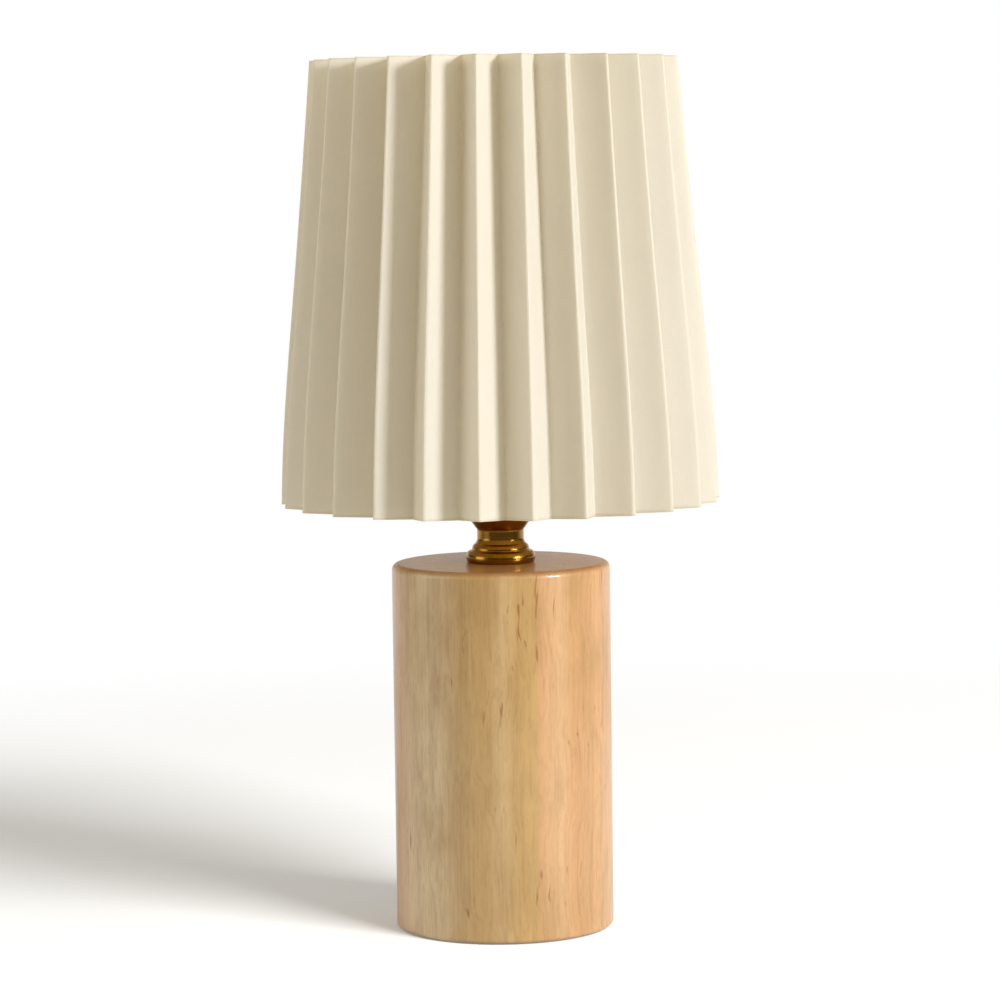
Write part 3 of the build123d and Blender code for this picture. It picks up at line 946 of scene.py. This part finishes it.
class LAMP_OT_bulb(bpy.types.Operator):
    """Finishes the bulb and the insides of its holder"""

    bl_idname = "lamp.bulb"
    bl_label = "Bulb"

    def execute(self, context):
        dress(
            ["bulb_cap", "screw_shell"],
            plain_finish("nickel", (0.62, 0.6, 0.56), 0.28, metallic=1.0),
        )
        dress(
            ["holder_insert"],
            plain_finish("porcelain", (0.8, 0.79, 0.74), 0.16, speckle=150.0),
        )
        dress(
            ["bulb_insulator"],
            plain_finish("cap glass", (0.012, 0.011, 0.012), 0.14),
        )
        dress(
            ["bulb_glass", "bulb_stem"],
            plain_finish(
                "clear glass",
                (0.97, 0.98, 0.97),
                0.02,
                speckle=60.0,
                depth=0.00001,
                **{"Transmission Weight": 1.0, "IOR": 1.46},
            ),
        )
        dress(
            ["bulb_filaments"],
            plain_finish("filament coating", (0.86, 0.52, 0.07), 0.55, speckle=3000.0),
        )
        return {"FINISHED"}


# The stage


def add_camera(settings):
    """Puts the camera in front of the lamp, tilted down and leaning a little."""
    bpy.ops.object.select_all(action="DESELECT")
    bpy.ops.object.camera_add()
    camera = bpy.context.object
    camera.name = "camera"
    camera.data.lens = settings.camera_lens
    camera.data.sensor_width = SENSOR_WIDTH
    camera.matrix_world = (
        Matrix.Translation((0, -settings.camera_distance, settings.camera_height))
        @ Matrix.Rotation(math.pi / 2 - settings.camera_tilt, 4, "X")
        @ Matrix.Rotation(settings.camera_roll, 4, "Z")
    )
    return camera


def add_lights(settings):
    """Adds the square lights, which all point at the lamp's middle."""
    aim = Vector((0, 0, (cad_low.z + cad_high.z) / 2))
    lights = {}
    for name in ("side", "high", "left", "floor"):
        level, turn, rise, size = (
            getattr(settings, f"{name}_{word}")
            for word in ("level", "turn", "rise", "size")
        )
        away = Vector(
            (
                math.sin(turn) * math.cos(rise),
                -math.cos(turn) * math.cos(rise),
                math.sin(rise),
            )
        )
        bpy.ops.object.light_add(type="AREA", location=aim + away * LIGHT_DISTANCE)
        light = bpy.context.object
        light.name = f"{name} light"
        light.rotation_mode = "QUATERNION"
        light.rotation_quaternion = away.to_track_quat("Z", "Y")
        light.data.size = size
        # A white card at this distance is then as bright as the level says
        light.data.energy = level * (math.pi * LIGHT_DISTANCE) ** 2
        lights[name] = light
    return lights


def studio(settings):
    """The world: white to the eye, with a room and a backdrop that light the lamp."""
    sky = Finish("studio", bpy.data.worlds)
    glossy, seen = sky.rays()
    # From -1 straight before the lamp to 1 straight behind it
    backwards = sky.along("Y", sky.node("ShaderNodeTexCoord", output="Generated"))
    level = sky.between(backwards, -0.5, 0.7, settings.front_level, settings.back_level)
    mirrored = sky.between(backwards, 0.55, 0.95, settings.room_level, 1.0)
    level = level + (mirrored - level) * glossy
    return sky.done(
        sky.node(
            "ShaderNodeBackground",
            {},
            {
                "Color": sky.mixed(seen, settings.room_tint, (1, 1, 1)),
                "Strength": level + (1.0 - level) * seen,
            },
        )
    )


def floor_finish(settings):
    """A floor that looks white, but lights the lamp as a grey card does."""
    finish = Finish("white floor")
    grey, white = (0.4, 0.4, 0.4, 1.0), (0.93, 0.93, 0.93, 1.0)
    own_glow = 0.17  # lifts the lamp's shadow
    fade_start, fade_end = 0.45, 0.95  # from the lamp's axis to the plain white
    dark_end, white_start = 0.0, 1.0  # behind the lamp's axis, in reflections
    glossy, seen = finish.rays()
    place = finish.place()
    reach = finish.node("ShaderNodeVectorMath", {"operation": "LENGTH"}, {0: place}, 1)
    backwards = finish.along("Y", place)
    mirrored = finish.between(
        backwards, dark_end, white_start, settings.room_level, 1.0
    )
    card = finish.node("ShaderNodeBsdfDiffuse", {}, {"Color": grey})
    bright = finish.node("ShaderNodeBsdfDiffuse", {}, {"Color": white})
    glow = finish.node("ShaderNodeEmission", {}, {"Strength": own_glow})
    near = finish.node("ShaderNodeAddShader", {}, {0: bright, 1: glow})
    far = finish.node(
        "ShaderNodeEmission", {}, {"Strength": 1.0 - (1.0 - mirrored) * glossy}
    )
    shown = finish.node(
        "ShaderNodeMixShader",
        {},
        {0: finish.between(reach, fade_start, fade_end), 1: near, 2: far},
    )
    return finish.done(
        finish.node("ShaderNodeMixShader", {}, {0: seen + glossy, 1: card, 2: shown})
    )


def add_floor(settings):
    """Adds the floor, a wide disc that faces up."""
    floor = begin(
        "floor",
        bpy.ops.mesh.primitive_circle_add,
        vertices=FLOOR_CORNERS,
        radius=FLOOR_RADIUS,
    )
    bpy.ops.mesh.edge_face_add()
    bpy.ops.mesh.select_all(action="SELECT")
    bpy.ops.mesh.normals_make_consistent(inside=False)
    bpy.ops.object.mode_set(mode="OBJECT")
    floor.data.materials.append(floor_finish(settings))
    return floor


def link_lights(lights, floor):
    """Lets the floor's light shine on the floor alone, and the others on all else."""
    for name, light in lights.items():
        lit = bpy.data.collections.new(f"{name} light")
        lit.objects.link(floor)
        if name != "floor":
            lit.collection_objects[0].light_linking.link_state = "EXCLUDE"
        light.light_linking.receiver_collection = lit


class LAMP_OT_stage(bpy.types.Operator):
    """Sets the floor, the lights and the camera"""

    bl_idname = "lamp.stage"
    bl_label = "Stage"

    def execute(self, context):
        scene = context.scene
        settings = scene.lamp_stage
        scene.view_settings.view_transform = "Standard"
        scene.camera = add_camera(settings)
        lights = add_lights(settings)
        scene.world = studio(settings)
        floor = add_floor(settings)
        link_lights(lights, floor)
        return {"FINISHED"}


# Panel and registration


class LAMP_PT_panel(bpy.types.Panel):
    """Lists the lamp's sizes, colours and pieces"""

    bl_idname = "LAMP_PT_panel"
    bl_label = "Table lamp"
    bl_space_type = "VIEW_3D"
    bl_region_type = "UI"
    bl_category = "Table lamp"

    def draw(self, context):
        for group in groups:
            settings = getattr(context.scene, group)
            column = self.layout.column()
            for name in settings.bl_rna.properties.keys():
                if name not in ("rna_type", "name"):
                    column.prop(settings, name)
        for name in steps:
            self.layout.operator(f"lamp.{name}")


groups = {
    "lamp_cover": CoverSizes,
    "lamp_colours": FinishColours,
    "lamp_stage": StageSettings,
}
operators = (
    LAMP_OT_stage,
    LAMP_OT_cover,
    LAMP_OT_column,
    LAMP_OT_metalwork,
    LAMP_OT_bulb,
)
steps = tuple(operator.bl_idname.split(".")[1] for operator in operators)


def register():
    for name, group in groups.items():
        bpy.utils.register_class(group)
        setattr(bpy.types.Scene, name, PointerProperty(type=group))
    for operator in operators:
        bpy.utils.register_class(operator)
    bpy.utils.register_class(LAMP_PT_panel)


def unregister():
    bpy.utils.unregister_class(LAMP_PT_panel)
    for operator in reversed(operators):
        bpy.utils.unregister_class(operator)
    for name, group in groups.items():
        delattr(bpy.types.Scene, name)
        bpy.utils.unregister_class(group)


def main():
    """Builds the lamp and its stage."""
    register()
    for name in steps:
        getattr(bpy.ops.lamp, name)()


if __name__ == "__main__":
    main()
